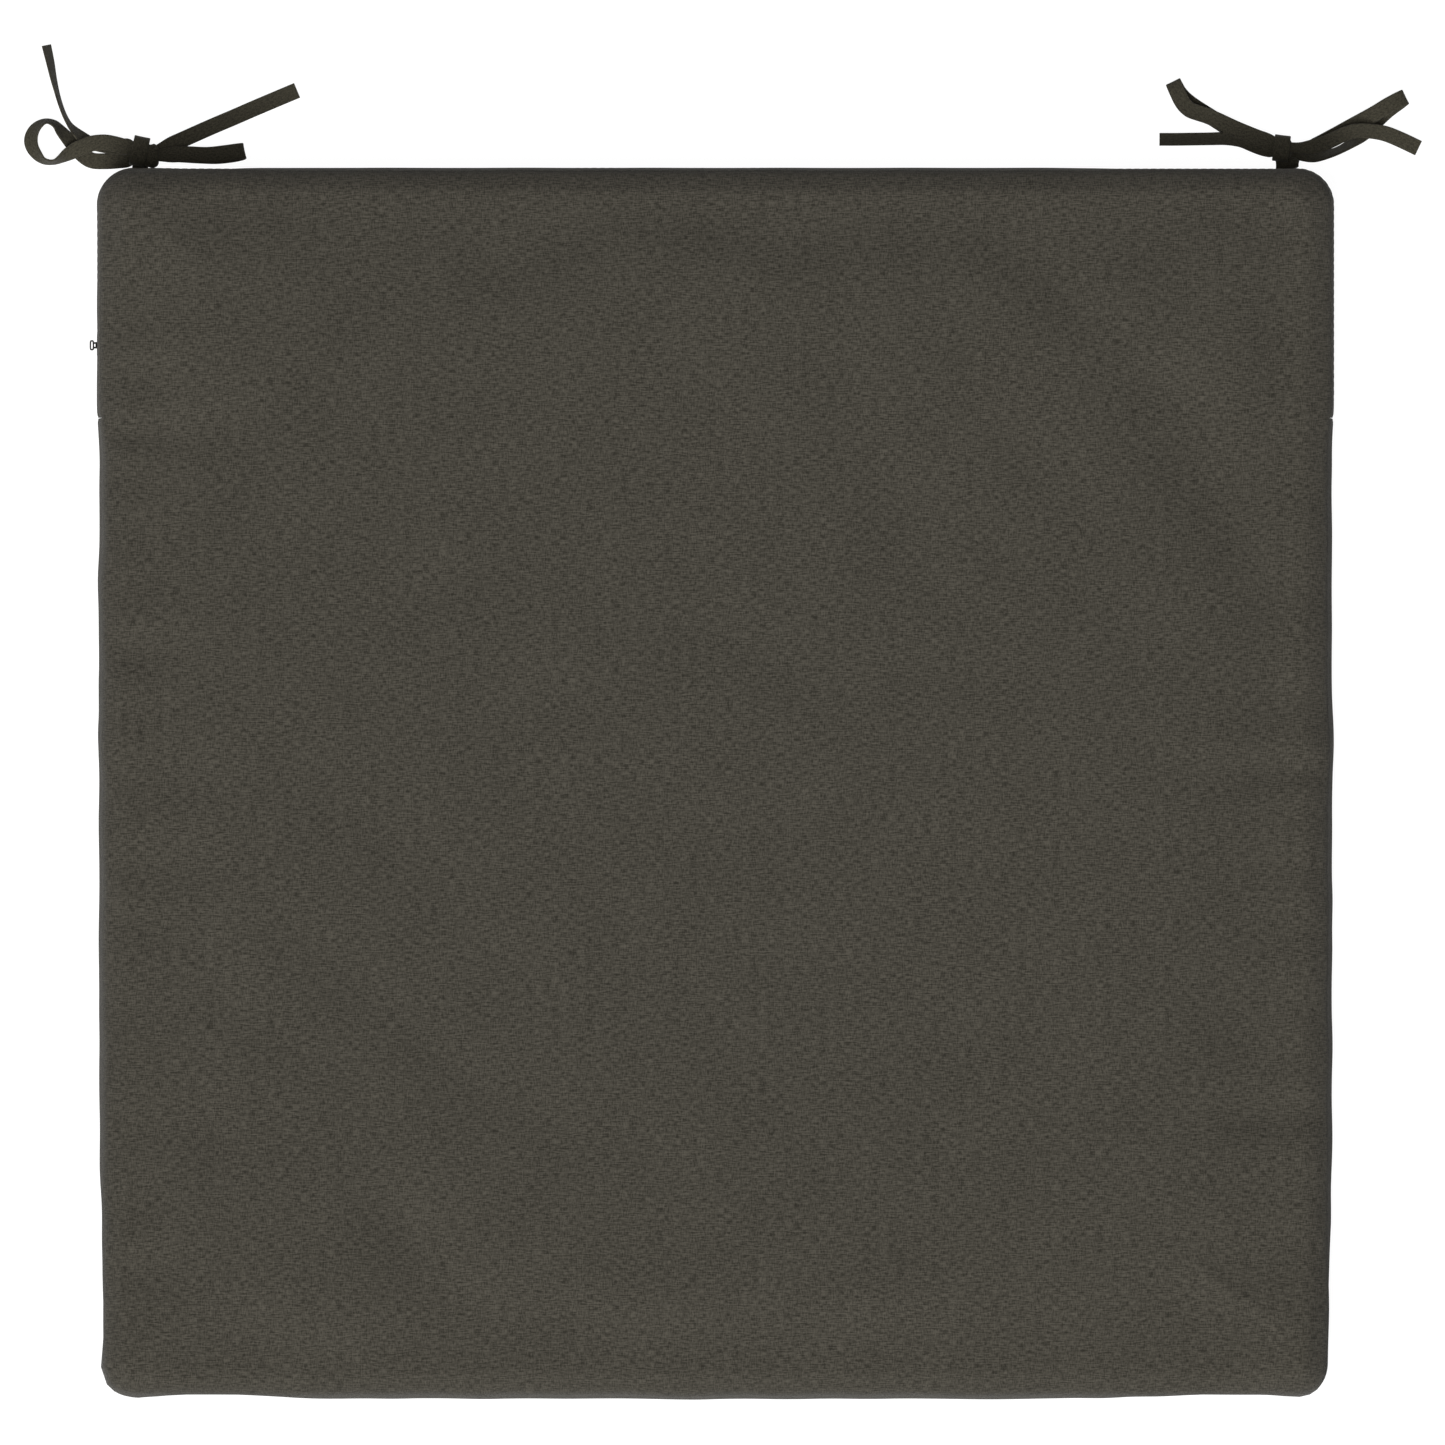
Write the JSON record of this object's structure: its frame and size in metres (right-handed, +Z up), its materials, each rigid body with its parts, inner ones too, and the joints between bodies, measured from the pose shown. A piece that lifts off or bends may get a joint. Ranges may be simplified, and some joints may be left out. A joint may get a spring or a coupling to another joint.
{
  "type": "chair seat pad",
  "caption": "Square boxed seat cushion with a zipped woven cover, a wadded foam core and a ribbon bow at each rear corner.",
  "frame": {"origin": "centre of the underside, on the surface the pad lies on; the ties and the small zip slider are not centred on it", "axes": "+X to the right, +Y to the rear edge with the ties, +Z up through the pad's thickness"},
  "size_m": [0.5698, 0.5509, 0.05],
  "materials": {
    "cover_fabric": "plain-woven dark grey-brown melange outdoor fabric",
    "tie_ribbon": "flat woven ribbon, slightly darker than the cover",
    "zip_tape": "woven zip tape dyed to match the cover",
    "zip_coil": "dark nylon coil",
    "slider_metal": "die-cast zinc slider, worn dull plating",
    "casing_nonwoven": "white spunbond nonwoven",
    "wadding": "white polyester fibre wadding",
    "foam": "cream open-cell polyurethane foam"
  },
  "bodies": {
    "cushion": {"top_panel": "cover_fabric", "bottom_panel": "cover_fabric", "front_band": "cover_fabric", "zip_band_upper": "cover_fabric", "zip_band_lower": "cover_fabric", "zip_tape_upper": "zip_tape", "zip_tape_lower": "zip_tape", "zip_coil_upper": "zip_coil", "zip_coil_lower": "zip_coil", "inner_casing_top": "casing_nonwoven", "inner_casing_bottom": "casing_nonwoven", "wadding_top": "wadding", "wadding_bottom": "wadding", "foam_core": "foam", "left_tie_stub": "tie_ribbon", "left_tie_knot": "tie_ribbon", "left_tie_loop_a": "tie_ribbon", "left_tie_loop_b": "tie_ribbon", "left_tie_tail_a": "tie_ribbon", "left_tie_tail_b": "tie_ribbon", "right_tie_stub": "tie_ribbon", "right_tie_knot": "tie_ribbon", "right_tie_loop_a": "tie_ribbon", "right_tie_loop_b": "tie_ribbon", "right_tie_tail_a": "tie_ribbon", "right_tie_tail_b": "tie_ribbon"},
    "slider": {"zip_slider": "slider_metal"}
  },
  "joints": [
    {"name": "zip_slide", "type": "slide", "parent": "cushion", "child": "slider", "axis": [0, 1, 0], "range_m": [-0.024, 0.05]}
  ]
}
